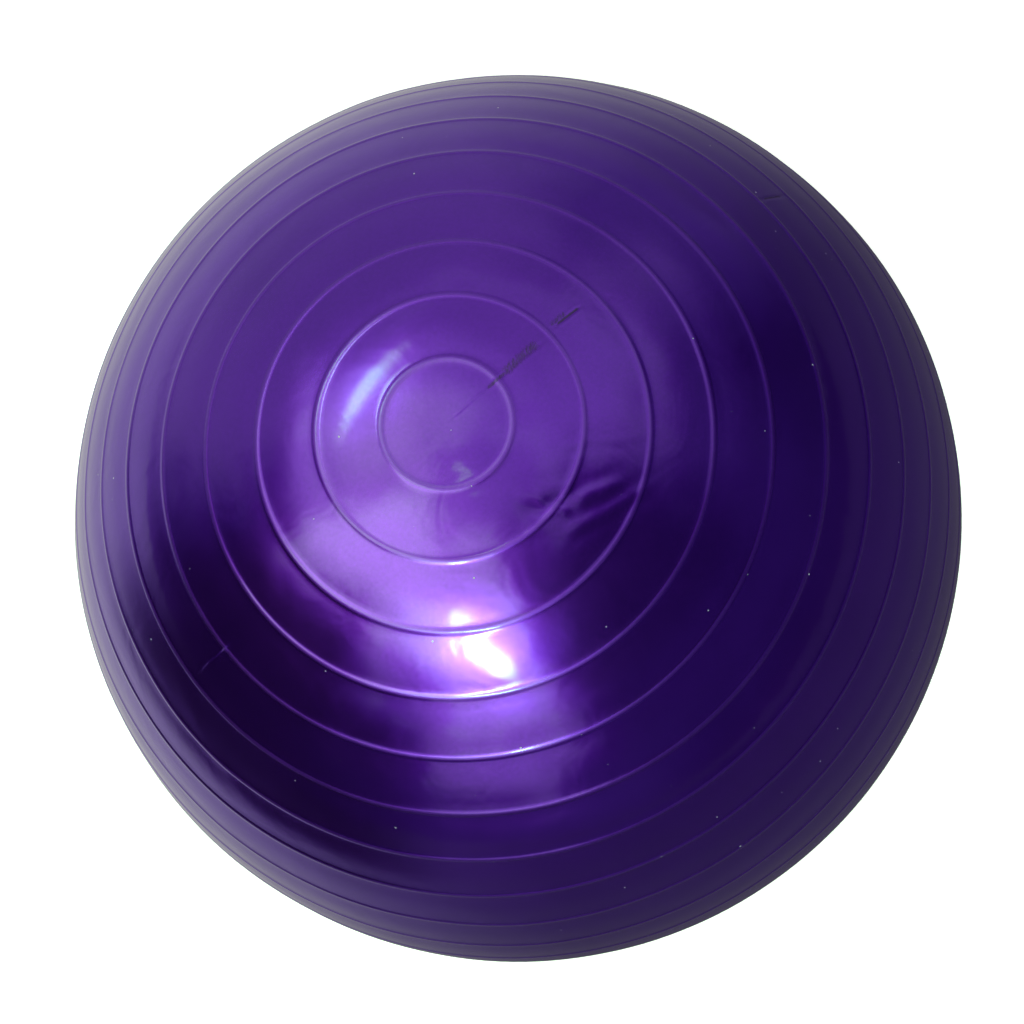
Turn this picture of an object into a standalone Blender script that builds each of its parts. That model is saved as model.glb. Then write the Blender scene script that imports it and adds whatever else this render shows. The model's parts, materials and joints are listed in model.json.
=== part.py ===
"""Exercise ball, 650 mm across: a ribbed PVC skin, the valve seat fused into it, and its push-in plug.

The axis that the mould was turned about is +Z. The ball stands at z = 0 on the small flat patch that its
own weight presses into it. The valve looks out of the plain band round the middle, towards -Y.
"""

from math import cos, pi, radians, sin, sqrt

import bmesh
import bpy
from mathutils import Matrix, Vector

# Driving dimensions, in metres.
BALL_RADIUS = 0.325
WALL = 0.0005  # at the chamber's corners: its flat strips cut up to 0.6 mm deeper between them
CONTACT_RADIUS = 0.034  # the patch that 1.2 kg flattens at an air pressure of about 3 kPa

RIB_PITCH = radians(7.13)  # 40 mm of arc from one rib to the next
RIBS_PER_HALF = 11
RIB_WIDTH = 0.0036
RIB_HEIGHT = 0.0006

VALVE_TILT = radians(5.8)  # the valve sits between the middle of the ball and the first rib above it
PAD_RADIUS = 0.020
PAD_RISE = 0.0004
PAD_DEPTH = 0.0024
PAD_HOLE = 0.0120

FIT_GAP = 0.0003  # left wherever two pieces face each other
BORE_RADIUS = 0.0049
SLEEVE_RADIUS = 0.0079
SLEEVE_END = -0.017
FLANGE_RADIUS = 0.0165
RECESS_RADIUS = 0.0106
RECESS_FLOOR = -0.0019

HEAD_RADIUS = 0.0101
HEAD_EDGE = 0.0001
HEAD_CROWN = 0.0005
STEM_RADIUS = 0.0046
STEM_ROOT = 0.0039
STEM_END = -0.0210
CORE_RADIUS = 0.0020
CORE_END = -0.0060

BALL_SEGMENTS = 48
VALVE_SEGMENTS = 40

# Worked out from them.
CENTRE_Z = sqrt(BALL_RADIUS**2 - CONTACT_RADIUS**2)
EQUATOR = radians(90)
VALVE_OUT = Vector((0.0, -cos(VALVE_TILT), sin(VALVE_TILT)))


def clear_scene():
    for obj in list(bpy.data.objects):
        bpy.data.objects.remove(obj)


def material(name, colour, roughness, metallic=0.0):
    made = bpy.data.materials.new(name)
    made.use_nodes = True
    shader = made.node_tree.nodes["Principled BSDF"]
    shader.inputs["Base Color"].default_value = (*colour, 1.0)
    shader.inputs["Roughness"].default_value = roughness
    shader.inputs["Metallic"].default_value = metallic
    return made


def turned(name, profile, segments, finish=None):
    """An object turned about its own Z from a closed outline of (radius, height) points, outer side downwards."""
    mesh = bmesh.new()
    points = [mesh.verts.new((radius, 0.0, height)) for radius, height in profile]
    edges = [mesh.edges.new(pair) for pair in zip(points, points[1:] + points[:1])
             if pair[0].co.x > 0.0 or pair[1].co.x > 0.0]
    bmesh.ops.spin(
        mesh, geom=points + edges, axis=(0, 0, 1), cent=(0, 0, 0),
        angle=2 * pi, steps=segments, use_merge=True,
    )
    bmesh.ops.remove_doubles(mesh, verts=mesh.verts, dist=1e-7)
    bmesh.ops.dissolve_degenerate(mesh, edges=mesh.edges, dist=1e-7)
    bmesh.ops.recalc_face_normals(mesh, faces=mesh.faces)
    data = bpy.data.meshes.new(name)
    mesh.to_mesh(data)
    mesh.free()
    data.shade_smooth()
    data.set_sharp_from_angle(angle=radians(30))
    obj = bpy.data.objects.new(name, data)
    bpy.context.collection.objects.link(obj)
    if finish:
        data.materials.append(finish)
    return obj


def as_cutter(obj):
    obj.hide_render = True
    obj.display_type = "WIRE"
    return obj


def boolean(obj, other, operation):
    made = obj.modifiers.new(f"{operation.lower()}_{other.name}", "BOOLEAN")
    made.object = other
    made.operation = operation


def rib_angles():
    """Polar angles of the rib centres, on the upper and then the lower half."""
    upper = [k * RIB_PITCH for k in range(1, RIBS_PER_HALF + 1)]
    return upper, [pi - angle for angle in reversed(upper)]


def band_angles():
    """Polar angles of the rows across the plain band between the two halves' ribs."""
    return [EQUATOR - VALVE_TILT, EQUATOR, EQUATOR + VALVE_TILT]


def on_ball(radius, angle):
    return radius * sin(angle), CENTRE_Z + radius * cos(angle)


def rib(angle):
    """A rib's foot, crest and foot."""
    half_width = RIB_WIDTH / 2 / BALL_RADIUS
    return [
        on_ball(BALL_RADIUS, angle - half_width),
        on_ball(BALL_RADIUS + RIB_HEIGHT, angle),
        on_ball(BALL_RADIUS, angle + half_width),
    ]


def ball_outside():
    """Outline of the skin: its ribs, one point between each two of them, and the flat patch it stands on."""
    upper, lower = rib_angles()
    outline = [on_ball(BALL_RADIUS, 0.0)]
    for angle in upper:
        outline.append(on_ball(BALL_RADIUS, angle - RIB_PITCH / 2))
        outline += rib(angle)
    outline += [on_ball(BALL_RADIUS, angle) for angle in band_angles()]
    for angle in lower[:-1]:
        outline += rib(angle)
        outline.append(on_ball(BALL_RADIUS, angle + RIB_PITCH / 2))
    return outline + rib(lower[-1]) + [(CONTACT_RADIUS, 0.0), (0.0, 0.0)]


def air_chamber():
    """Outline of the space inside, a wall's thickness in from the skin."""
    radius = BALL_RADIUS - WALL
    floor_radius = sqrt(radius**2 - (CENTRE_Z - WALL) ** 2)
    upper, lower = rib_angles()
    outline = [on_ball(radius, angle) for angle in [0.0] + upper + band_angles() + lower]
    return outline + [(floor_radius, WALL), (0.0, WALL)]


def dip(radius):
    """How far the round skin has fallen away at this distance from the valve's axis."""
    return radius**2 / 2 / BALL_RADIUS


def valve_pad():
    """Outline of the thick pad that is moulded into the skin round the valve."""
    chamfer = 0.0010
    inner = PAD_RADIUS - 0.0016
    return [
        (0.0, PAD_RISE),
        (PAD_RADIUS / 2, PAD_RISE - dip(PAD_RADIUS / 2)),
        (PAD_RADIUS - chamfer, PAD_RISE - dip(PAD_RADIUS)),
        (PAD_RADIUS, -chamfer / 2 - dip(PAD_RADIUS)),
        (PAD_RADIUS, -0.0016 - dip(PAD_RADIUS)),
        (inner, -PAD_DEPTH - dip(inner)),
        (PAD_HOLE, -PAD_DEPTH - dip(PAD_HOLE)),
        (0.0, -PAD_DEPTH),
    ]


def valve_seat():
    """Outline of the socket: a rim, the recess for the plug's head, the bore, its sleeve and the inner flange."""
    neck = PAD_HOLE - FIT_GAP
    rim_top = PAD_RISE - dip(neck)
    under_pad = -PAD_DEPTH - FIT_GAP
    edge = 0.0003
    return [
        (RECESS_RADIUS + edge, rim_top + edge),
        (neck - edge, rim_top + edge),
        (neck, rim_top),
        (neck, under_pad - dip(neck)),
        (FLANGE_RADIUS, under_pad - dip(FLANGE_RADIUS)),
        (FLANGE_RADIUS, -0.0037),
        (SLEEVE_RADIUS + 0.0010, -0.0052),
        (SLEEVE_RADIUS, -0.0062),
        (SLEEVE_RADIUS, SLEEVE_END + 0.0008),
        (SLEEVE_RADIUS - 0.0008, SLEEVE_END),
        (BORE_RADIUS + edge, SLEEVE_END),
        (BORE_RADIUS, SLEEVE_END + edge),
        (BORE_RADIUS, RECESS_FLOOR - 0.0006),
        (BORE_RADIUS + 0.0006, RECESS_FLOOR),
        (RECESS_RADIUS, RECESS_FLOOR),
        (RECESS_RADIUS, rim_top),
    ]


def valve_plug():
    """Outline of the plug: a low domed head, three barbs down the stem, and the core that opens at its tip."""
    underside = RECESS_FLOOR + FIT_GAP
    barbs = 3
    barb_length = 0.0040
    first_barb = underside - 0.0030
    outline = [
        (0.0, HEAD_CROWN),
        (HEAD_RADIUS * 0.55, HEAD_CROWN - 0.0001),
        (HEAD_RADIUS - 0.0006, HEAD_EDGE),
        (HEAD_RADIUS, HEAD_EDGE - 0.0006),
        (HEAD_RADIUS, underside + 0.0003),
        (HEAD_RADIUS - 0.0003, underside),
        (STEM_ROOT, underside),
    ]
    for barb in range(barbs):
        top = first_barb - barb * barb_length
        outline += [(STEM_ROOT, top), (STEM_RADIUS, top - 0.0008), (STEM_RADIUS, top - 0.0014)]
    tip = STEM_ROOT - 0.0009
    outline += [
        (STEM_ROOT, first_barb - barbs * barb_length),
        (STEM_ROOT, STEM_END + 0.0015),
        (tip, STEM_END),
        (CORE_RADIUS, STEM_END),
        (CORE_RADIUS, CORE_END - 0.0008),
        (CORE_RADIUS * 0.5, CORE_END),
        (0.0, CORE_END),
    ]
    return outline


def valve_frame():
    """An empty on the skin, with its Z out along the valve's axis, so that the plug slides along its own Z."""
    frame = bpy.data.objects.new("valve_frame", None)
    bpy.context.collection.objects.link(frame)
    turn = VALVE_OUT.to_track_quat("Z", "X").to_matrix().to_4x4()
    frame.matrix_world = Matrix.Translation(Vector((0, 0, CENTRE_Z)) + BALL_RADIUS * VALVE_OUT) @ turn
    return frame


def main():
    clear_scene()
    purple = material("purple_pvc", (0.075, 0.022, 0.330), 0.28)
    soft_purple = material("soft_purple_pvc", (0.060, 0.018, 0.260), 0.42)
    white = material("white_polythene", (0.780, 0.770, 0.740), 0.38)
    frame = valve_frame()

    shell = turned("ball_shell", ball_outside(), BALL_SEGMENTS, purple)
    # A quarter turn puts a column of corners on the valve's side, so that the pad meets the skin evenly.
    shell.rotation_euler.z = -EQUATOR
    chamber = as_cutter(turned("air_chamber", air_chamber(), BALL_SEGMENTS))
    chamber.rotation_euler.z = -EQUATOR
    pad = as_cutter(turned("valve_pad", valve_pad(), VALVE_SEGMENTS))
    hole_outline = [(0.0, 0.01), (PAD_HOLE, 0.01), (PAD_HOLE, -0.01), (0.0, -0.01)]
    hole = as_cutter(turned("pad_hole", hole_outline, VALVE_SEGMENTS))
    boolean(shell, chamber, "DIFFERENCE")
    boolean(shell, pad, "UNION")
    boolean(shell, hole, "DIFFERENCE")
    normals = shell.modifiers.new("even_shading", "WEIGHTED_NORMAL")
    normals.weight = 100

    seat = turned("valve_seat", valve_seat(), VALVE_SEGMENTS, soft_purple)
    plug = turned("valve_plug", valve_plug(), VALVE_SEGMENTS, white)
    for piece in (pad, hole, seat, plug):
        piece.parent = frame


main()
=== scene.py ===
"""The inflated exercise ball, its valve seat and its plug, on a pale studio floor, seen from almost above."""

import json
from math import cos, pi, radians, sin, sqrt

import bmesh
import bpy
import numpy as np
from mathutils import Matrix, Vector


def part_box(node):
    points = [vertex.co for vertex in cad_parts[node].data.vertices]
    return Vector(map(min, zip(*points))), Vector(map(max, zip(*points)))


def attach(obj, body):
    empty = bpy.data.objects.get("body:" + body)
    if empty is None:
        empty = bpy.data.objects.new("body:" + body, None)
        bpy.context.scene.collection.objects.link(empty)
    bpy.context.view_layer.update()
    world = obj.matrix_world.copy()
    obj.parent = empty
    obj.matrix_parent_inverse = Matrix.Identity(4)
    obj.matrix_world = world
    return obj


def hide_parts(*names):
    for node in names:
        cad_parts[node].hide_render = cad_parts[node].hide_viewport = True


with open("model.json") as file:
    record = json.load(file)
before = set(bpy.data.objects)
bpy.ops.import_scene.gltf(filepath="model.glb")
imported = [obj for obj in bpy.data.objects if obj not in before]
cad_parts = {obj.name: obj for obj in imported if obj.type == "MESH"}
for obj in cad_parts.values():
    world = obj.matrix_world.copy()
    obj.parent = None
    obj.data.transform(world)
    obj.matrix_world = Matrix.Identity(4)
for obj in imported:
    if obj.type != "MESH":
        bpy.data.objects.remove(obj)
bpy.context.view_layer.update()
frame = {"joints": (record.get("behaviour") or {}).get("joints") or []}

# ---------------------------------------------------------------- sizes taken from the CAD nodes
SHELL_LOW, SHELL_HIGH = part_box("ball_shell")
RADIUS = (SHELL_HIGH[0] - SHELL_LOW[0]) / 2
CENTRE = Vector((0.0, 0.0, SHELL_HIGH[2] - RADIUS))
PULL = next(joint for joint in frame["joints"] if joint["name"] == "plug_pull")
VALVE_OUT = Vector(PULL["axis"]).normalized()
VALVE_TURN = VALVE_OUT.to_track_quat("Z", "X").to_matrix().to_4x4()
VALVE_FRAME = Matrix.Translation(CENTRE + RADIUS * VALVE_OUT) @ VALVE_TURN

# ---------------------------------------------------------------- the skin, in metres and radians
RIB_PITCH = radians(7.13)
RIBS_PER_HALF = 11
RIB_WIDTH = 0.0048
RIB_HALF = RIB_WIDTH / 2 / RADIUS      # half the angle across a rib
RIB_FEET = 1.15                        # where a rib's soft feet end, in half widths
RIB_HEIGHT = 0.00042
PARTING_WIDTH = 0.0006                 # half width of the fine groove round the middle
PARTING_DEPTH = 0.00025
PILLOW = 0.00016                       # how far the skin swells between one rib and the next
SWELLS = [(0.00016, 11, 0.42), (0.00005, 12, 0.19)]    # height, seed and wavelength of the slow unevenness
CONTACT_RADIUS = 0.034                 # of the flat patch that the ball stands on
CONTACT_FADE = radians(4)              # over which the skin's detail fades out above that patch
WALL = 0.0008
INNER_DEPTH = 2 * WALL                 # of the inner wall, so that no crease of the outer skin reaches it

# How far the rings lie from even spacing, as measured on the photograph.
LOOSE = radians(0.42)                  # how much lower the rings about LOOSE_AT lie
LOOSE_AT = radians(46.5)
LOOSE_WIDTH = radians(7.5)
OVAL = radians(0.12)                   # how far the rings are out of round, most of all at the middle
OVAL_TURN = 0.7
TOP_START = radians(3)                 # where the shift of the rings near the top begins
TOP_END = radians(23)
TOP_FADE = radians(7)
TOP_SHIFT = radians(0.38)              # how far it goes towards the azimuth TOP_TOWARDS
TOP_TOWARDS = radians(205)
FIRST_SHRINK = radians(0.20)           # how much higher the first ring lies
FIRST_WIDTH = radians(4)

# The rows and columns of the skin's mesh.
RIB_ROWS = (-1.35, -0.85, -0.45, 0.0, 0.45, 0.85, 1.35)    # across a rib, in half widths
PARTING_ROWS = (-2.2, -0.9, 0.0, 0.9, 2.2)             # across the groove, in half widths
TOP_ROW = radians(0.35)
CLOSE_END = radians(24)                # down to here the rows are close together, for the creases
CLOSE_ROWS = radians(0.42)
WIDE_ROWS = radians(1.0)
LAST_STEP = 0.002                      # at least this far from the last row to the contact patch
COLUMNS = 216
FOLD_COLUMNS = {radians(184.4): radians(3.0), radians(1.5): radians(2.2)}    # folds: middle and half width
CLOSE_COLUMNS = radians(0.125)
INNER_TOP = radians(3)
INNER_ROWS = 41
INNER_COLUMNS = 64


# ---------------------------------------------------------------- camera
def photo_camera():
    tilt = radians(12.27)       # between the line of sight and the axis of the rings
    roll = radians(38.76)
    distance = 4.255 * RADIUS
    towards = Vector((0.0, sin(tilt), cos(tilt)))
    level_up = Vector((0.0, -cos(tilt), sin(tilt)))
    level_right = Vector((-1.0, 0.0, 0.0))
    up = cos(roll) * level_up + sin(roll) * level_right
    right = cos(roll) * level_right - sin(roll) * level_up
    data = bpy.data.cameras.new("camera")
    data.sensor_width = 36.0
    data.lens = 64.48
    data.shift_x = -0.00622
    data.shift_y = 0.00614
    data.clip_start = 0.01
    data.clip_end = 100.0
    camera = bpy.data.objects.new("camera", data)
    bpy.context.collection.objects.link(camera)
    turn = Matrix((right, up, towards)).transposed().to_4x4()
    camera.matrix_world = Matrix.Translation(CENTRE + distance * towards) @ turn
    bpy.context.scene.camera = camera


# ---------------------------------------------------------------- skin of the ball
def rib_centres():
    upper = [k * RIB_PITCH for k in range(1, RIBS_PER_HALF + 1)]
    return np.array(upper + [pi - angle for angle in reversed(upper)])


def row_angles(contact_angle):
    """Polar angles of the rows: seven across each rib, five across the groove and even steps between."""
    rows = []
    for centre in rib_centres():
        rows += list(centre + np.array(RIB_ROWS) * RIB_HALF)
    rows += list(pi / 2 + np.array(PARTING_ROWS) * PARTING_WIDTH / RADIUS)
    rows = np.array(sorted(row for row in rows if row < contact_angle - LAST_STEP))
    filled = [TOP_ROW]
    for start, end in zip(np.r_[TOP_ROW, rows], np.r_[rows, contact_angle]):
        step = CLOSE_ROWS if start < CLOSE_END else WIDE_ROWS
        count = max(1, int(round((end - start) / step)))
        filled += list(start + (end - start) * np.arange(1, count + 1) / count)
    return np.array(filled)


def column_angles():
    """Longitudes of the columns, closer together where a fold runs down the skin."""
    even = np.arange(COLUMNS) * 2 * pi / COLUMNS
    kept = [angle for angle in even
            if all(abs((angle - at + pi) % (2 * pi) - pi) > half for at, half in FOLD_COLUMNS.items())]
    close = []
    for at, half in FOLD_COLUMNS.items():
        close += list(at + np.linspace(-half, half, int(half / CLOSE_COLUMNS) + 1))
    return np.array(sorted(angle % (2 * pi) for angle in kept + close))


def direction(polar, azimuth):
    """Unit vectors for polar angles from +Z and azimuths from +X."""
    return np.stack([np.sin(polar) * np.cos(azimuth), np.sin(polar) * np.sin(azimuth), np.cos(polar)], -1)


def undulation(points, seed, wavelength, count=14):
    """A smooth random field of unit strength, made of sine waves that cross in every direction."""
    rng = np.random.default_rng(seed)
    total = np.zeros(points.shape[:-1])
    for _ in range(count):
        heading = rng.normal(size=3)
        heading /= np.linalg.norm(heading)
        turns = 2 * pi / wavelength * rng.uniform(0.75, 1.35)
        total += np.sin(points @ heading * turns + rng.uniform(0, 2 * pi))
    return total / sqrt(count)


def smoothed(share):
    """A share from 0 to 1 as an S-shaped curve, flat at both ends."""
    share = np.clip(share, 0, 1)
    return share * share * (3 - 2 * share)


FOLD_FADE = 0.25                       # share of a crease's length over which each of its ends fades
SHOULDER_AT = 1.9                      # from a crease's middle to its shoulders, in half widths
SHOULDER_HEIGHT = 0.45                 # of the shoulders, as a share of the depth


def fold(points, start, end, depth, width, wander, seed):
    """Height of a crease along the great circle between two (polar, azimuth) places in degrees.

    It is a valley between two low shoulders, or with a negative depth a ridge between two dips.
    """
    first = direction(*np.radians(start))
    last = direction(*np.radians(end))
    side = np.cross(first, last)
    length = np.arctan2(np.linalg.norm(side), first @ last)
    side /= np.linalg.norm(side)
    ahead = np.cross(side, first)
    along = np.arctan2(points @ ahead, points @ first) / length
    across = np.arcsin(np.clip(points @ side, -1, 1)) * RADIUS
    rng = np.random.default_rng(seed)
    for turns in (2.0, 5.0, 11.0):
        across = across + wander / turns * np.sin(2 * pi * turns * along + rng.uniform(0, 2 * pi))
    fade = smoothed(np.minimum(along, 1 - along) / FOLD_FADE)
    valley = np.exp(-((across / width) ** 2))
    shoulders = np.exp(-(((np.abs(across) - SHOULDER_AT * width) / width) ** 2))
    return depth * fade * (SHOULDER_HEIGHT * shoulders - valley)


# The creases that folding and packing left in the skin: start and end as (polar, azimuth) in degrees,
# then depth (negative for a ridge), half width and how far each wanders from its course, in metres.
FOLDS = [
    ((0.6, 190), (6.4, 182.9), -0.00006, 0.0009, 0.0003),
    ((5.6, 182.6), (14.2, 183.7), 0.00016, 0.0012, 0.0006),
    ((15.2, 185.6), (19.6, 185.2), 0.00020, 0.0011, 0.0004),
    ((20, 185.2), (50, 184.5), 0.00004, 0.0014, 0.0006),
    ((49.5, 184.6), (57.5, 183.7), 0.00022, 0.0014, 0.0004),
    ((33.5, 2.8), (41.8, 0.7), -0.00060, 0.0012, 0.0004),
    ((11.6, 90.0), (16.4, 113), 0.00042, 0.0048, 0.0016),
    ((13.6, 96.0), (20.0, 127), -0.00030, 0.0034, 0.0012),
    ((16.6, 96.0), (23.0, 128), -0.00024, 0.0030, 0.0012),
    ((16.2, 106.0), (11.6, 102.4), -0.00022, 0.0026, 0.0005),
    ((11.0, 129.5), (22.0, 140), -0.00008, 0.0022, 0.0010),
    ((43.0, -13), (56, 22), -0.00014, 0.0050, 0.0030),
    ((60, -90), (50, -46), 0.00010, 0.0050, 0.0030),
    ((66, -120), (52, -150), 0.00010, 0.0050, 0.0030),
    ((72, 150), (57, 190), 0.00012, 0.0050, 0.0030),
    ((78, 70), (66, 112), 0.00012, 0.0050, 0.0030),
]


def crests(polar):
    """1 along the top of each rib, falling to 0 at its feet."""
    nearest = np.min([np.abs(polar - centre) for centre in rib_centres()], axis=0)
    return np.cos(np.clip(nearest / (RIB_FEET * RIB_HALF), 0, 1) * pi / 2) ** 2


def skin_height(points, polar):
    """How far the skin stands out from the plain ball."""
    growth = 0.8 + 0.5 * np.sin(polar)     # the ribs are lowest near the top and tallest at the middle
    height = RIB_HEIGHT * growth * crests(polar)
    in_band = np.minimum(polar, pi - polar) / RIB_PITCH
    height += PILLOW * np.sin(pi * in_band) ** 2 * (in_band < RIBS_PER_HALF)
    height -= PARTING_DEPTH * np.exp(-(((polar - pi / 2) * RADIUS / PARTING_WIDTH) ** 2))
    for amount, seed, wavelength in SWELLS:
        height += amount * undulation(points, seed, wavelength)
    for number, (start, end, depth, width, wander) in enumerate(FOLDS):
        height += fold(points, start, end, depth, width, wander, seed=number)
    return height


def stretched(polar, azimuth):
    """Where each place of the skin really lies, as a polar angle.

    About the sixth and seventh rings the skin has stretched more, all the rings are slightly oval, and those
    near the top are shifted sideways, the first of them also a little smaller.
    """
    slack = LOOSE * np.exp(-(((polar - LOOSE_AT) / LOOSE_WIDTH) ** 2))
    slack += OVAL * np.sin(2 * azimuth + OVAL_TURN) * np.sin(polar) ** 2
    near_top = np.clip(polar / TOP_START, 0, 1) * np.clip((TOP_END - polar) / TOP_FADE, 0, 1)
    slack += TOP_SHIFT * np.cos(azimuth - TOP_TOWARDS) * near_top
    slack -= FIRST_SHRINK * np.exp(-(((polar - RIB_PITCH) / FIRST_WIDTH) ** 2)) * near_top
    return polar + slack


def grid_faces(rows, columns, outward=True):
    """Quads between successive rows of a closed band of vertices."""
    row, column = np.meshgrid(np.arange(rows - 1), np.arange(columns), indexing="ij")
    after = (column + 1) % columns
    quads = np.stack([row * columns + column, (row + 1) * columns + column,
                      (row + 1) * columns + after, row * columns + after], -1).reshape(-1, 4)
    return quads if outward else quads[:, ::-1]


def skin_mesh():
    """The outer skin with everything that shows on it, and a coarser inner wall: points, faces and crests."""
    contact_angle = pi - np.arcsin(CONTACT_RADIUS / RADIUS)
    azimuth = column_angles()
    polar = row_angles(contact_angle)
    polar_grid, azimuth_grid = np.meshgrid(polar, azimuth, indexing="ij")
    fade = smoothed((contact_angle - polar_grid) / CONTACT_FADE)
    lying = polar_grid + (stretched(polar_grid, azimuth_grid) - polar_grid) * fade
    points = direction(lying, azimuth_grid)
    height = skin_height(points, polar_grid) * fade
    outer = points * (RADIUS + height)[..., None]
    outer[-1, :, 2] = -CENTRE.z
    inner_polar = np.linspace(INNER_TOP, contact_angle, INNER_ROWS)
    inner_azimuth = np.arange(INNER_COLUMNS) * 2 * pi / INNER_COLUMNS
    inner = direction(*np.meshgrid(inner_polar, inner_azimuth, indexing="ij")) * (RADIUS - INNER_DEPTH)
    inner[-1, :, 2] = -CENTRE.z + WALL
    outer_skin = (outer, grid_faces(len(polar), len(azimuth)), crests(polar_grid) * fade)
    inner_faces = grid_faces(INNER_ROWS, INNER_COLUMNS, outward=False)
    return outer_skin, (inner, inner_faces, np.zeros(inner.shape[:2]))


def add_closed_grid(mesh, points, quads, crest, outward):
    """A grid of quads closed by a fan at the top and one at the bottom, with the ribs' crests marked."""
    rows, columns = points.shape[:2]
    layer = mesh.verts.layers.float.get("crest") or mesh.verts.layers.float.new("crest")
    verts = []
    for point, amount in zip(points.reshape(-1, 3), crest.reshape(-1)):
        verts.append(mesh.verts.new(Vector(point) + CENTRE))
        verts[-1][layer] = float(amount)
    top = mesh.verts.new(Vector((0, 0, np.linalg.norm(points[0, 0]))) + CENTRE)
    foot = mesh.verts.new(Vector((0, 0, points[-1, 0, 2])) + CENTRE)
    for quad in quads.tolist():
        mesh.faces.new([verts[index] for index in quad])
    last = (rows - 1) * columns
    for column in range(columns):
        after = (column + 1) % columns
        caps = [(top, verts[column], verts[after]), (foot, verts[last + after], verts[last + column])]
        for cap in caps:
            mesh.faces.new(cap if outward else cap[::-1])


def make_object(name, mesh, sharp):
    data = bpy.data.meshes.new(name)
    mesh.to_mesh(data)
    mesh.free()
    data.shade_smooth()
    if sharp:
        data.set_sharp_from_angle(angle=radians(sharp))
    obj = bpy.data.objects.new(name, data)
    bpy.context.collection.objects.link(obj)
    return obj


# ---------------------------------------------------------------- the valve, in metres
MERGE = 1e-7                           # points closer than this are one
TURNED_SHARP = 35                      # edges of more degrees than this are sharp
ARC_STEPS = 4
MOST_OF_SIDE = 0.45                    # share of a side that a rounded corner may take


def turned(name, profile, segments=96):
    """A closed shape on the valve's axis, turned about it from an outline of (radius, height) points."""
    mesh = bmesh.new()
    points = [mesh.verts.new((radius, 0.0, height)) for radius, height in profile]
    edges = [mesh.edges.new(pair) for pair in zip(points, points[1:] + points[:1])
             if pair[0].co.x > 0.0 or pair[1].co.x > 0.0]
    bmesh.ops.spin(mesh, geom=points + edges, axis=(0, 0, 1), cent=(0, 0, 0),
                   angle=2 * pi, steps=segments, use_merge=True)
    bmesh.ops.remove_doubles(mesh, verts=mesh.verts, dist=MERGE)
    bmesh.ops.dissolve_degenerate(mesh, edges=mesh.edges, dist=MERGE)
    bmesh.ops.recalc_face_normals(mesh, faces=mesh.faces)
    mesh.transform(VALVE_FRAME)
    return make_object(name, mesh, TURNED_SHARP)


def rounded(profile, corners):
    """The outline with some of its corners, given as {index: radius}, replaced by small arcs."""
    out = []
    count = len(profile)
    for index, point in enumerate(profile):
        if index not in corners:
            out.append(point)
            continue
        here = np.array(point)
        before = np.array(profile[index - 1]) - here
        after = np.array(profile[(index + 1) % count]) - here
        shorter = min(np.linalg.norm(before), np.linalg.norm(after))
        reach = min(corners[index], shorter * MOST_OF_SIDE)
        start = here + before / np.linalg.norm(before) * reach
        end = here + after / np.linalg.norm(after) * reach
        for step in range(ARC_STEPS + 1):
            part = step / ARC_STEPS
            place = (1 - part) ** 2 * start + 2 * part * (1 - part) * here + part**2 * end
            out.append((float(place[0]), float(place[1])))
    return out


def dip(radius):
    """How far the round skin has fallen away at this distance from the valve's axis."""
    return radius**2 / 2 / RADIUS


PAD_RADIUS = 0.020
PAD_SEGMENTS = 72
PAD_HOLE = 0.0120
HOLE_REACH = 0.01                      # of the cutter for the hole, to each side of the skin
PAD_RISE = 0.0004
PAD_DEPTH = 0.0024
NECK_RADIUS = 0.0119
RIM_RISE = 0.00035                     # of the socket's rim over the pad
RECESS_RADIUS = 0.0106
RECESS_FLOOR = -0.0019
BORE_RADIUS = 0.0049
SLEEVE_RADIUS = 0.0079
SLEEVE_END = -0.017
FLANGE_RADIUS = 0.0165
HEAD_RADIUS = 0.0101
STEM_ROOT = 0.0039
STEM_RADIUS = 0.0046
STEM_END = -0.021
HEAD_TOP = 0.00035
HEAD_GAP = 0.0003                      # between the head and the floor of its recess
BARBS = 3
FIRST_BARB = 0.0030                    # from the head's underside
BARB_PITCH = 0.0040
CORE_RADIUS = 0.0020
CORE_END = -0.006
BALL_SHARP = radians(32)


def pad_outline():
    outline = [
        (0.0, PAD_RISE),
        (PAD_RADIUS / 2, PAD_RISE - dip(PAD_RADIUS / 2)),
        (PAD_RADIUS - 0.0010, PAD_RISE - dip(PAD_RADIUS)),
        (PAD_RADIUS + 0.0012, -0.0006 - dip(PAD_RADIUS)),
        (PAD_RADIUS + 0.0004, -0.0020 - dip(PAD_RADIUS)),
        (PAD_RADIUS - 0.0016, -PAD_DEPTH - dip(PAD_RADIUS)),
        (0.0, -PAD_DEPTH),
    ]
    return rounded(outline, {2: 0.0010})


def seat_outline():
    rim_top = PAD_RISE - dip(NECK_RADIUS)
    under_pad = -PAD_DEPTH - 0.0002
    outline = [
        (RECESS_RADIUS, rim_top + RIM_RISE),
        (NECK_RADIUS, rim_top + RIM_RISE),
        (NECK_RADIUS, under_pad - dip(NECK_RADIUS)),
        (FLANGE_RADIUS, under_pad - dip(FLANGE_RADIUS)),
        (FLANGE_RADIUS, -0.0037),
        (SLEEVE_RADIUS + 0.0010, -0.0052),
        (SLEEVE_RADIUS, -0.0062),
        (SLEEVE_RADIUS, SLEEVE_END),
        (BORE_RADIUS, SLEEVE_END),
        (BORE_RADIUS, RECESS_FLOOR),
        (RECESS_RADIUS, RECESS_FLOOR),
    ]
    return rounded(outline, {0: 0.0004, 1: 0.0005, 7: 0.0009, 8: 0.0004, 9: 0.0007, 10: 0.0004})


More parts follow.
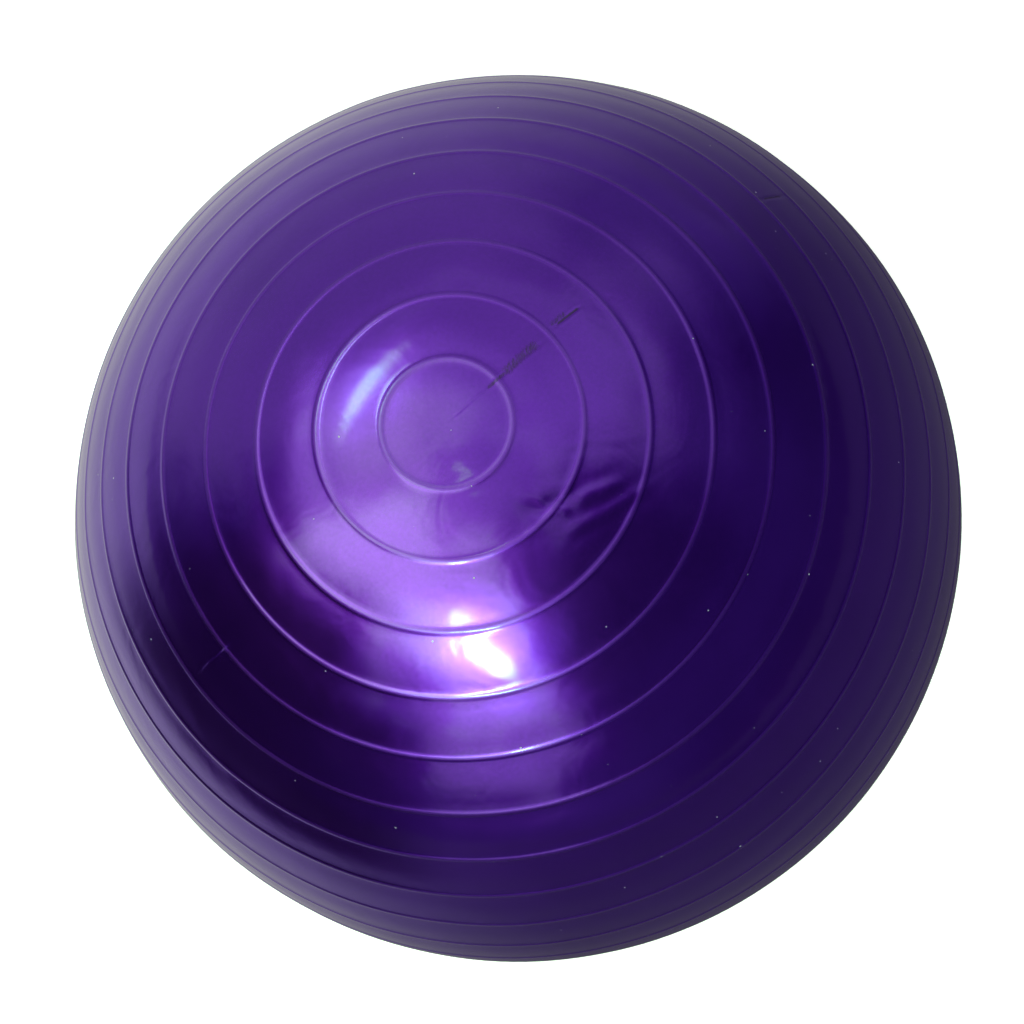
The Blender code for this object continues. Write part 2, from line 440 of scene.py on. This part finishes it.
def plug_outline():
    underside = RECESS_FLOOR + HEAD_GAP
    outline = [
        (0.0, HEAD_TOP),
        (0.0011, HEAD_TOP),
        (0.0014, 0.00052),
        (HEAD_RADIUS * 0.55, 0.0004),
        (HEAD_RADIUS * 0.78, 0.0003),
        (HEAD_RADIUS * 0.80, 0.00005),
        (HEAD_RADIUS * 0.83, 0.00005),
        (HEAD_RADIUS * 0.85, 0.00028),
        (HEAD_RADIUS, 0.0002),
        (HEAD_RADIUS, underside),
        (STEM_ROOT, underside),
    ]
    corners = {8: 0.0007, 9: 0.0003, 10: 0.0005}
    for barb in range(BARBS):
        top = underside - FIRST_BARB - barb * BARB_PITCH
        outline += [(STEM_ROOT, top), (STEM_RADIUS, top - 0.0008), (STEM_RADIUS, top - 0.0014)]
        corners[len(outline) - 2] = 0.0003
        corners[len(outline) - 1] = 0.0004
    outline += [
        (STEM_ROOT, underside - 0.0150),
        (STEM_ROOT, STEM_END + 0.0015),
        (STEM_ROOT - 0.0009, STEM_END),
        (CORE_RADIUS, STEM_END),
        (CORE_RADIUS, CORE_END - 0.0008),
        (CORE_RADIUS * 0.5, CORE_END),
        (0.0, CORE_END),
    ]
    corners[len(outline) - 5] = 0.0005
    return rounded(outline, corners)


def apply_boolean(target, cutter, operation):
    made = target.modifiers.new("cut", "BOOLEAN")
    made.object = cutter
    made.operation = operation
    made.solver = "EXACT"
    graph = bpy.context.evaluated_depsgraph_get()
    result = bpy.data.meshes.new_from_object(target.evaluated_get(graph))
    target.modifiers.clear()
    target.data = result
    bpy.data.objects.remove(cutter)


def build_ball():
    outer, inner = skin_mesh()
    mesh = bmesh.new()
    add_closed_grid(mesh, *outer, True)
    add_closed_grid(mesh, *inner, False)
    ball = make_object("ball", mesh, sharp=0)
    apply_boolean(ball, turned("pad", pad_outline(), PAD_SEGMENTS), "UNION")
    hole = [(0.0, HOLE_REACH), (PAD_HOLE, HOLE_REACH), (PAD_HOLE, -HOLE_REACH), (0.0, -HOLE_REACH)]
    apply_boolean(ball, turned("hole", hole, PAD_SEGMENTS), "DIFFERENCE")
    ball.data.shade_smooth()
    ball.data.set_sharp_from_angle(angle=BALL_SHARP)
    return ball


# ---------------------------------------------------------------- materials
PEARL_DARK = (0.138, 0.012, 0.54, 1)
PEARL_LIGHT = (0.178, 0.018, 0.66, 1)
DUST = (0.60, 0.55, 0.72, 1)
WORN = (0.035, 0.014, 0.075, 1)
# lighter violet painted on the ribs' crests: a painted sheen
PAINTED_CREST_SHEEN = (0.26, 0.10, 0.62, 1)
SOFT_PVC = ((0.045, 0.010, 0.20, 1), (0.060, 0.014, 0.26, 1))
POLYTHENE = ((0.75, 0.68, 0.71, 1), (0.83, 0.76, 0.79, 1))
CLOUD_SHARE = 0.65                     # of the skin's mottling, the rest of which is fine grain
SKIN_PEEL = 0.0000015                  # heights of the skin's and the plastics' bumps, in metres
SKIN_RIPPLES = 0.00028
PLASTIC_PEEL = 0.00001


def new_material(name):
    material = bpy.data.materials.new(name)
    material.use_nodes = True
    return material, material.node_tree, material.node_tree.nodes["Principled BSDF"]


def connect(tree, made, inputs):
    """Sets or links the inputs of a node, given as {name or number: value or socket}."""
    for key, value in inputs.items():
        if isinstance(value, bpy.types.NodeSocket):
            tree.links.new(value, made.inputs[key])
        else:
            made.inputs[key].default_value = value


def node(tree, kind, inputs=None, **settings):
    made = tree.nodes.new(kind)
    for key, value in settings.items():
        setattr(made, key, value)
    connect(tree, made, inputs or {})
    return made


def arithmetic(tree, operation, *values):
    made = node(tree, "ShaderNodeMath", dict(enumerate(values)), operation=operation)
    return made.outputs["Value"]


def product(tree, first, second):
    return arithmetic(tree, "MULTIPLY", first, second)


def dot(tree, first, second):
    made = node(tree, "ShaderNodeVectorMath", {0: first, 1: second}, operation="DOT_PRODUCT")
    return made.outputs["Value"]


def noise(tree, where, scale, detail=3.0, roughness=0.5, distortion=0.0):
    made = node(tree, "ShaderNodeTexNoise", {"Vector": where, "Scale": scale, "Detail": detail,
                                             "Roughness": roughness, "Distortion": distortion})
    return made.outputs["Fac"]


def ramp(tree, value, low, high, to_low=0.0, to_high=1.0):
    made = node(tree, "ShaderNodeMapRange", {"Value": value, "From Min": low, "From Max": high,
                                             "To Min": to_low, "To Max": to_high})
    return made.outputs["Result"]


def soft_edge(tree, value, outside, inside):
    made = node(tree, "ShaderNodeMapRange", {"Value": value, "From Min": outside, "From Max": inside},
                interpolation_type="SMOOTHSTEP")
    return made.outputs["Result"]


def blend_colour(tree, amount, first, second):
    made = node(tree, "ShaderNodeMix", data_type="RGBA")
    sockets = {socket.identifier: socket for socket in made.inputs}
    for key, value in (("Factor_Float", amount), ("A_Color", first), ("B_Color", second)):
        if isinstance(value, bpy.types.NodeSocket):
            tree.links.new(value, sockets[key])
        else:
            sockets[key].default_value = value
    return next(socket for socket in made.outputs if socket.identifier == "Result_Color")


def bumps(tree, height):
    """The normal of a surface with bumps of this height in metres."""
    made = node(tree, "ShaderNodeBump", {"Height": height, "Strength": 1.0, "Distance": 1.0})
    return made.outputs["Normal"]


# Dark rubbed marks along the main fold: where each starts and ends, seen from above, its half width there,
# and how much of it the strokes cover.
SCUFFS = [
    ((-0.031, -0.0015), (-0.050, -0.0030), 0.0022, 0.58),
    ((-0.042, -0.0025), (-0.077, -0.0068), 0.0062, 0.54),
    ((-0.087, -0.0085), (-0.108, -0.0098), 0.0014, 0.75),
    ((-0.084, -0.0105), (-0.099, -0.0118), 0.0034, 0.50),
    ((-0.252, -0.0195), (-0.269, -0.0185), 0.0014, 0.70),
]
STROKE_LEAN = radians(52)              # between the strokes of a mark and the line that it runs along
STROKE_SLENDER = 0.35                  # the strokes' width as a share of their length


def scuff(tree, where, start, end, half_width, cover):
    """How dark one rubbed mark is: thin slanting strokes that fade out towards its edges."""
    origin = Vector((*start, 0.0))
    run = Vector((*end, 0.0)) - origin
    length = run.length
    run.normalize()
    offset = node(tree, "ShaderNodeVectorMath", {0: where, 1: origin}, operation="SUBTRACT").outputs["Vector"]
    along = arithmetic(tree, "ABSOLUTE", arithmetic(tree, "SUBTRACT", dot(tree, offset, run), length / 2))
    beside = arithmetic(tree, "ABSOLUTE", dot(tree, offset, Vector((-run.y, run.x, 0.0))))
    inside = product(tree, soft_edge(tree, along, length / 2, length * 0.3),
                     soft_edge(tree, beside, half_width, half_width * 0.2))
    slant = Matrix.Rotation(STROKE_LEAN, 3, "Z") @ run
    grid = node(tree, "ShaderNodeCombineXYZ", {
        "X": dot(tree, offset, slant * STROKE_SLENDER),
        "Y": dot(tree, offset, Vector((-slant.y, slant.x, 0.0))),
    }).outputs["Vector"]
    strokes = noise(tree, grid, 900.0, detail=4.0, roughness=0.75, distortion=0.6)
    return soft_edge(tree, arithmetic(tree, "ADD", strokes, product(tree, inside, cover)), 0.80, 1.20)


def all_scuffs(tree, where):
    worn = 0.0
    for mark in SCUFFS:
        worn = arithmetic(tree, "MAXIMUM", worn, scuff(tree, where, *mark))
    return worn


def dust(tree, where):
    """1 inside the specks of dust, 0 elsewhere: about a quarter of the pattern's cells hold one."""
    cells = node(tree, "ShaderNodeTexVoronoi", {"Vector": where, "Scale": 95.0, "Randomness": 1.0})
    chance = node(tree, "ShaderNodeSeparateColor", {"Color": cells.outputs["Color"]})
    size = ramp(tree, chance.outputs["Red"], 0.72, 1.0, 0.0, 0.060)
    return arithmetic(tree, "LESS_THAN", cells.outputs["Distance"], size)


def pearl_vinyl():
    material, tree, shader = new_material("pearl_purple_pvc")
    where = node(tree, "ShaderNodeTexCoord").outputs["Object"]
    crest = node(tree, "ShaderNodeAttribute", attribute_name="crest", attribute_type="GEOMETRY")
    # the ribs' crests, which get a painted sheen in the colour and a rougher surface
    crest_mask = soft_edge(tree, crest.outputs["Fac"], 0.25, 0.85)
    worn = all_scuffs(tree, where)
    speck = dust(tree, where)
    clouds = product(tree, noise(tree, where, 9.0, detail=4.0, roughness=0.55), CLOUD_SHARE)
    grain = product(tree, noise(tree, where, 420.0, detail=2.0), 1 - CLOUD_SHARE)
    tone = ramp(tree, arithmetic(tree, "ADD", clouds, grain), 0.36, 0.64)
    colour = blend_colour(tree, tone, PEARL_DARK, PEARL_LIGHT)
    colour = blend_colour(tree, product(tree, speck, 0.7), colour, DUST)
    colour = blend_colour(tree, product(tree, worn, 0.80), colour, WORN)
    # painted sheen: the crests of the ribs painted a lighter violet
    colour = blend_colour(tree, product(tree, crest_mask, 0.16), colour, PAINTED_CREST_SHEEN)
    flow = noise(tree, where, 34.0, detail=3.0, distortion=0.6)
    rough = ramp(tree, flow, 0.30, 0.70, 0.21, 0.25)
    rough = arithmetic(tree, "ADD", rough, product(tree, crest_mask, 0.16))
    rough = arithmetic(tree, "ADD", rough, product(tree, worn, 0.3))
    peel = product(tree, noise(tree, where, 260.0, detail=2.0), SKIN_PEEL)
    ripples = product(tree, noise(tree, where, 22.0, detail=2.0, distortion=1.2), SKIN_RIPPLES)
    normal = bumps(tree, arithmetic(tree, "ADD", peel, ripples))
    connect(tree, shader, {
        "Base Color": colour,
        "Metallic": ramp(tree, speck, 0.0, 1.0, 0.96, 0.0),
        "Roughness": rough,
        "Normal": normal,
        "Coat Weight": 1.0,
        "Coat Roughness": 0.08,
        "Coat IOR": 1.5,
        "Coat Normal": normal,
    })
    return material


def plain_plastic(name, dark, light, roughness):
    material, tree, shader = new_material(name)
    where = node(tree, "ShaderNodeTexCoord").outputs["Object"]
    tone = noise(tree, where, 180.0, detail=3.0)
    peel = product(tree, noise(tree, where, 1500.0, detail=2.0), PLASTIC_PEEL)
    connect(tree, shader, {
        "Base Color": blend_colour(tree, ramp(tree, tone, 0.35, 0.65), dark, light),
        "Roughness": ramp(tree, tone, 0.3, 0.7, roughness - 0.05, roughness + 0.05),
        "Normal": bumps(tree, peel),
    })
    return material


# ---------------------------------------------------------------- studio
FLOOR_RADIUS = 6.0
FLOOR_HEIGHT = -0.0003
CARD_RADIUS = 6.5
CARD_HEIGHT = -0.0002

# Soft-edged panels of light on the walls of the room: azimuth and elevation of the middle, half width,
# half height, softness of the side edges and of the upper and lower edges (all in degrees), and strength.
PANELS = {
    "high_wall": (248, 61, 92, 18, 44, 16, 0.36),
    "left_window": (290, 55, 20, 9, 16, 12, 0.26),
    "near_high": (15, 60, 46, 15, 14, 16, 1.40),
    "key_glow": (40, 46, 27, 14, 14, 12, 0.60),
    "key_low": (50, 30, 16, 16, 14, 28, 0.72),
    "key_floor": (52, 0, 30, 14, 30, 16, 0.08),
    "left_wall": (255, 6, 68, 40, 30, 12, 0.20),
    "left_wall_middle": (270, 6, 46, 40, 26, 12, 0.14),
    "right_wall": (114, 0, 74, 28, 18, 24, 0.04),
    "right_high": (118, 36, 44, 34, 24, 24, 0.035),
    "right_top": (128, 73, 34, 8, 24, 8, 0.28),
    "back_high": (180, 52, 34, 26, 36, 30, 0.16),
}
ROOM_WANDER = radians(16)              # how far the panels' edges wander
CEILING = (318, 72, 38, 8, 0.60)       # azimuth, elevation, outer and inner radius in degrees, strength
ROOM = 0.013                           # light between the panels

# Lamps as soft oval glows: azimuth, elevation, lean of the long axis from level, half length and half
# width (all in degrees), and strength.
GLOWS = {
    "key_core": (49, 48.5, -52, 13.0, 4.0, 22.0),
    "key_halo": (41, 48.5, -25, 20.0, 13.0, 1.75),
    "back_strip": (285, 54.0, 0, 15.0, 3.8, 4.4),
    "top_spot": (327, 85, 50, 4.5, 1.4, 1.5),
}

# The light's tone depends on its strength.
DIM_LIGHT = (0.45, 0.25, 1.0, 1)       # the violet tone of the weakest light
FULL_LIGHT = (1.0, 1.0, 1.0, 1)
FULL_FROM = 0.4                        # strength from which the light is white
WARM_LIGHT = (1.18, 1.80, 0.82, 1)     # the lamps' own tone, which the purple skin turns almost white
WARM_RANGE = (0.56, 1.15)              # strengths over which the light takes it
HOT_LIGHT = (0.86, 2.4, 1.0, 1)        # the tone in the middle of a lamp
HOT_RANGE = (1.7, 6.0)                 # strengths over which the light takes that

CARD_MIDDLE = 302                      # azimuth of the card's bright side, in degrees
CARD_LOBE = (-0.5, 1.0)                # cosines from that azimuth between which the card brightens
CARD_DARK = 0.09
CARD_BRIGHT = 0.48
CARD_TONE = (0.75, 0.65, 1.0, 1)
SHADE_MIDDLE = 1                       # azimuth where only the near part of the card is lit
SHADE_LOBE = (0.72, 0.95)
SHADE_DISTANCE = (0.95, 1.70)          # from the axis, in metres, over which the card goes dark there
SHADE_DEPTH = 0.96


def disc(name, radius, height):
    mesh = bmesh.new()
    bmesh.ops.create_circle(mesh, cap_ends=True, cap_tris=False, segments=96, radius=radius)
    bmesh.ops.translate(mesh, verts=mesh.verts, vec=(0, 0, height))
    return make_object(name, mesh, sharp=0)


def floor():
    obj = disc("floor", FLOOR_RADIUS, FLOOR_HEIGHT)
    material, tree, shader = new_material("white_floor")
    mottle = noise(tree, node(tree, "ShaderNodeTexCoord").outputs["Object"], 3.0)
    connect(tree, shader, {
        "Base Color": blend_colour(tree, mottle, (0.80, 0.80, 0.81, 1), (0.84, 0.84, 0.85, 1)),
        "Roughness": 0.8,
        "Specular IOR Level": 0.2,
        "Emission Color": FULL_LIGHT,
        "Emission Strength": 0.72,
    })
    material.cycles.emission_sampling = "NONE"
    obj.data.materials.append(material)


def strayed(tree, where, angle):
    """An angle in the room, moved a little from place to place, so that the panels' edges wander."""
    amount = noise(tree, where, 3.2, detail=2.0)
    return arithmetic(tree, "ADD", angle, ramp(tree, amount, 0.0, 1.0, -ROOM_WANDER, ROOM_WANDER))


def band(tree, offset, half, edge):
    """1 near an offset of 0 and 0 past half the band's width, with a soft edge (both in degrees)."""
    away = arithmetic(tree, "ABSOLUTE", offset)
    return soft_edge(tree, away, radians(half + edge / 2), radians(half - edge / 2))


def panel(tree, azimuth, elevation, middle, height, half_width, half_height, side_edge, level_edge):
    """How much of a soft-edged panel of light there is in a direction."""
    beside = arithmetic(tree, "WRAP", arithmetic(tree, "SUBTRACT", azimuth, radians(middle)), pi, -pi)
    above = arithmetic(tree, "SUBTRACT", elevation, radians(height))
    across = band(tree, beside, half_width, side_edge)
    return product(tree, across, band(tree, above, half_height, level_edge))


def glow(tree, where, middle, height, lean, half_length, half_width):
    """How much of a soft oval glow there is in a direction."""
    facing = Vector(direction(radians(90 - height), radians(middle)))
    level = Vector((0.0, 0.0, 1.0)).cross(facing).normalized()
    upright = facing.cross(level)
    along = cos(radians(lean)) * level + sin(radians(lean)) * upright
    offsets = []
    for axis, half in ((along, half_length), (facing.cross(along), half_width)):
        off = arithmetic(tree, "ABSOLUTE", dot(tree, where, axis / sin(radians(half))))
        offsets.append(arithmetic(tree, "POWER", off, 2.0))
    oval = arithmetic(tree, "SQRT", arithmetic(tree, "ADD", *offsets))
    front = arithmetic(tree, "GREATER_THAN", dot(tree, where, facing), 0.0)
    return product(tree, soft_edge(tree, oval, 1.0, 0.25), front)


def ceiling(tree, where, middle, height, outer, inner):
    """How much of the round soft-edged ceiling light there is in a direction."""
    facing = dot(tree, where, Vector(direction(radians(90 - height), radians(middle))))
    return soft_edge(tree, facing, cos(radians(outer)), cos(radians(inner)))


def room_light(tree):
    """Colour of the room's light in every direction: the sum of the panels, the glows and the ceiling."""
    where = node(tree, "ShaderNodeTexCoord").outputs["Generated"]
    elsewhere = node(tree, "ShaderNodeVectorMath", {0: where, 1: (7.0, 3.0, 5.0)}, operation="ADD")
    parts = node(tree, "ShaderNodeSeparateXYZ", {"Vector": where})
    azimuth = strayed(tree, where, arithmetic(tree, "ARCTAN2", parts.outputs["Y"], parts.outputs["X"]))
    elevation = strayed(tree, elsewhere.outputs["Vector"], arithmetic(tree, "ARCSINE", parts.outputs["Z"]))
    *shape, strength = CEILING
    shares = {"ceiling": (ceiling(tree, where, *shape), strength)}
    for name, (*shape, strength) in PANELS.items():
        shares[name] = (panel(tree, azimuth, elevation, *shape), strength)
    for name, (*shape, strength) in GLOWS.items():
        shares[name] = (glow(tree, where, *shape), strength)
    total = ROOM
    for name, (amount, strength) in shares.items():
        scaled = node(tree, "ShaderNodeMath", {0: amount, 1: strength}, operation="MULTIPLY", label=name)
        total = arithmetic(tree, "ADD", scaled.outputs["Value"], total)
    tone = blend_colour(tree, soft_edge(tree, total, 0.0, FULL_FROM), DIM_LIGHT, FULL_LIGHT)
    tone = blend_colour(tree, soft_edge(tree, total, *WARM_RANGE), tone, WARM_LIGHT)
    tone = blend_colour(tree, soft_edge(tree, total, *HOT_RANGE), tone, HOT_LIGHT)
    made = node(tree, "ShaderNodeVectorMath", {0: tone, "Scale": total}, operation="SCALE")
    return made.outputs["Vector"]


def studio():
    """The room as the world: plain white to the camera, and the panels and lamps to everything else."""
    world = bpy.data.worlds.new("studio")
    world.use_nodes = True
    tree = world.node_tree
    path = node(tree, "ShaderNodeLightPath")
    colour = blend_colour(tree, path.outputs["Is Camera Ray"], room_light(tree), FULL_LIGHT)
    tree.links.new(colour, tree.nodes["Background"].inputs["Color"])
    scene = bpy.context.scene
    scene.world = world
    scene.view_settings.view_transform = "Standard"
    scene.view_settings.look = "None"


def lobe(tree, azimuth, middle, far, near):
    """0 to 1 towards an azimuth, between two cosines of the angle from it."""
    towards = arithmetic(tree, "COSINE", arithmetic(tree, "SUBTRACT", azimuth, radians(middle)))
    return soft_edge(tree, towards, far, near)


def reflection_card():
    """A glowing disc just over the floor that only reflections see, brighter on one side."""
    card = disc("reflection_card", CARD_RADIUS, CARD_HEIGHT)
    material, tree, shader = new_material("card_glow")
    where = node(tree, "ShaderNodeTexCoord").outputs["Object"]
    parts = node(tree, "ShaderNodeSeparateXYZ", {"Vector": where})
    azimuth = arithmetic(tree, "ARCTAN2", parts.outputs["Y"], parts.outputs["X"])
    distance = node(tree, "ShaderNodeVectorMath", {0: where}, operation="LENGTH").outputs["Value"]
    shade = product(tree, lobe(tree, azimuth, SHADE_MIDDLE, *SHADE_LOBE),
                    soft_edge(tree, distance, *SHADE_DISTANCE))
    lit = arithmetic(tree, "SUBTRACT", 1.0, product(tree, shade, SHADE_DEPTH))
    strength = product(tree, lobe(tree, azimuth, CARD_MIDDLE, *CARD_LOBE), CARD_BRIGHT - CARD_DARK)
    strength = product(tree, arithmetic(tree, "ADD", strength, CARD_DARK), lit)
    white = soft_edge(tree, strength, 0.0, FULL_FROM)
    connect(tree, shader, {
        "Base Color": (0.0, 0.0, 0.0, 1),
        "Specular IOR Level": 0.0,
        "Emission Color": blend_colour(tree, white, CARD_TONE, FULL_LIGHT),
        "Emission Strength": strength,
    })
    card.data.materials.append(material)
    card.visible_camera = False
    card.visible_diffuse = False
    card.visible_shadow = False
    card.visible_transmission = False


def main():
    photo_camera()
    vinyl = pearl_vinyl()
    seat_vinyl = plain_plastic("soft_purple_pvc", *SOFT_PVC, roughness=0.38)
    polythene = plain_plastic("white_polythene", *POLYTHENE, roughness=0.36)
    ball = build_ball()
    ball.data.materials.clear()
    ball.data.materials.append(vinyl)
    seat = turned("valve_socket", seat_outline())
    seat.data.materials.append(seat_vinyl)
    plug = turned("plug", plug_outline())
    plug.data.materials.append(polythene)
    for piece, body, stands_for, slot in (
        (ball, "ball", "ball_shell", "purple_pvc"),
        (seat, "ball", "valve_seat", "soft_purple_pvc"),
        (plug, "plug", "valve_plug", "white_polythene"),
    ):
        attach(piece, body)
        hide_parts(stands_for)
    floor()
    reflection_card()
    studio()


main()
